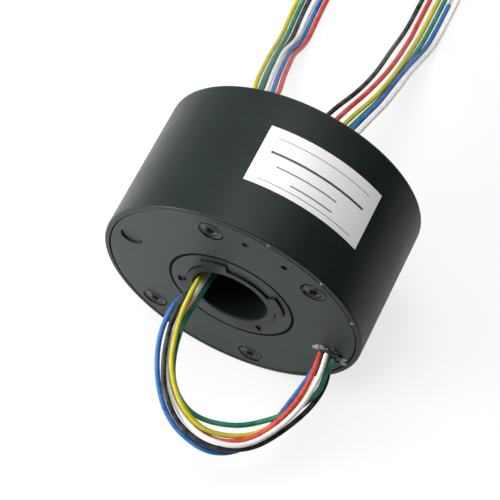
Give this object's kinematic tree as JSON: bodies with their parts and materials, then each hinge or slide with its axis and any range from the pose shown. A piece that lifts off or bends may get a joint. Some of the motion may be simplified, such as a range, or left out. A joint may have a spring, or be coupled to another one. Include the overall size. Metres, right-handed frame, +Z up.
{
  "type": "slip ring",
  "caption": "Through-bore slip ring in black anodised aluminium, with coloured leads on its stator and its rotor.",
  "frame": {"origin": "centre of the bore at the stator cover's outer face", "axes": "+Y along the bore from the stator face towards the rotor's collar, +Z up, the drum resting on its side"},
  "size_m": [0.1795, 0.2828, 0.0991],
  "materials": {
    "drum": "satin black anodised, lightly brushed round",
    "cover": "satin black anodised",
    "rotor_black": "satin black anodised, turned",
    "sleeve_metal": "clear, turned",
    "screw": "black oxide",
    "key_screw": "zinc plated",
    "pillar": "turned",
    "bearing_steel": "ground",
    "cage_brass": "satin",
    "ring_gold": "hard gold plated",
    "wire_gold": "gold alloy spring wire",
    "phenolic": "red-brown moulding",
    "bar_board": "green glass-epoxy",
    "potting": "cured grey-white resin",
    "label_film": "white matt film",
    "lead_black": "smooth insulation",
    "lead_red": "smooth insulation",
    "lead_yellow": "smooth insulation",
    "lead_green": "smooth insulation",
    "lead_blue": "smooth insulation",
    "lead_white": "smooth insulation"
  },
  "bodies": {
    "stator": {"housing": "drum", "stator_cover": "cover", "rotor_cover": "cover", "stator_cover_screws": "screw", "rotor_cover_screws": "screw", "tie_pillars": "pillar", "cover_plug": "cover", "sealed_screw": "screw", "outlet_potting": "potting", "label": "label_film", "near_outer_race": "bearing_steel", "far_outer_race": "bearing_steel", "brush_bar_right": "bar_board", "brush_bar_left": "bar_board", "brush_wires_1": "wire_gold", "brush_wires_2": "wire_gold", "brush_wires_3": "wire_gold", "brush_wires_4": "wire_gold", "brush_wires_5": "wire_gold", "brush_wires_6": "wire_gold", "stator_lead_black": "lead_black", "stator_lead_red": "lead_red", "stator_lead_yellow": "lead_yellow", "stator_lead_green": "lead_green", "stator_lead_blue": "lead_blue", "stator_lead_white": "lead_white"},
    "rotor": {"rotor_sleeve": "sleeve_metal", "bore_bush": "rotor_black", "rotor_end_ring": "rotor_black", "rotor_key_screw": "key_screw", "rotor_collar": "rotor_black", "rotor_set_screws": "screw", "rotor_potting": "potting", "near_inner_race": "bearing_steel", "far_inner_race": "bearing_steel", "ring_core": "phenolic", "ring_insulators": "phenolic", "contact_ring_1": "ring_gold", "contact_ring_2": "ring_gold", "contact_ring_3": "ring_gold", "contact_ring_4": "ring_gold", "contact_ring_5": "ring_gold", "contact_ring_6": "ring_gold", "rotor_lead_black": "lead_black", "rotor_lead_red": "lead_red", "rotor_lead_yellow": "lead_yellow", "rotor_lead_green": "lead_green", "rotor_lead_blue": "lead_blue", "rotor_lead_white": "lead_white"},
    "near_ball_row": {"near_cage": "cage_brass", "near_balls": "bearing_steel"},
    "far_ball_row": {"far_cage": "cage_brass", "far_balls": "bearing_steel"}
  },
  "joints": [
    {"name": "rotor_spin", "type": "hinge", "parent": "stator", "child": "rotor", "pos_m": [0, 0, 0], "axis": [0, 1, 0], "continuous": true},
    {"name": "near_cage_spin", "type": "hinge", "parent": "stator", "child": "near_ball_row", "pos_m": [0, 0.0065, 0], "axis": [0, 1, 0], "continuous": true},
    {"name": "far_cage_spin", "type": "hinge", "parent": "stator", "child": "far_ball_row", "pos_m": [0, 0.0475, 0], "axis": [0, 1, 0], "continuous": true}
  ],
  "couplings": [
    {"joint": "near_cage_spin", "follows": "rotor_spin", "ratio": 0.4631},
    {"joint": "far_cage_spin", "follows": "rotor_spin", "ratio": 0.4631}
  ]
}
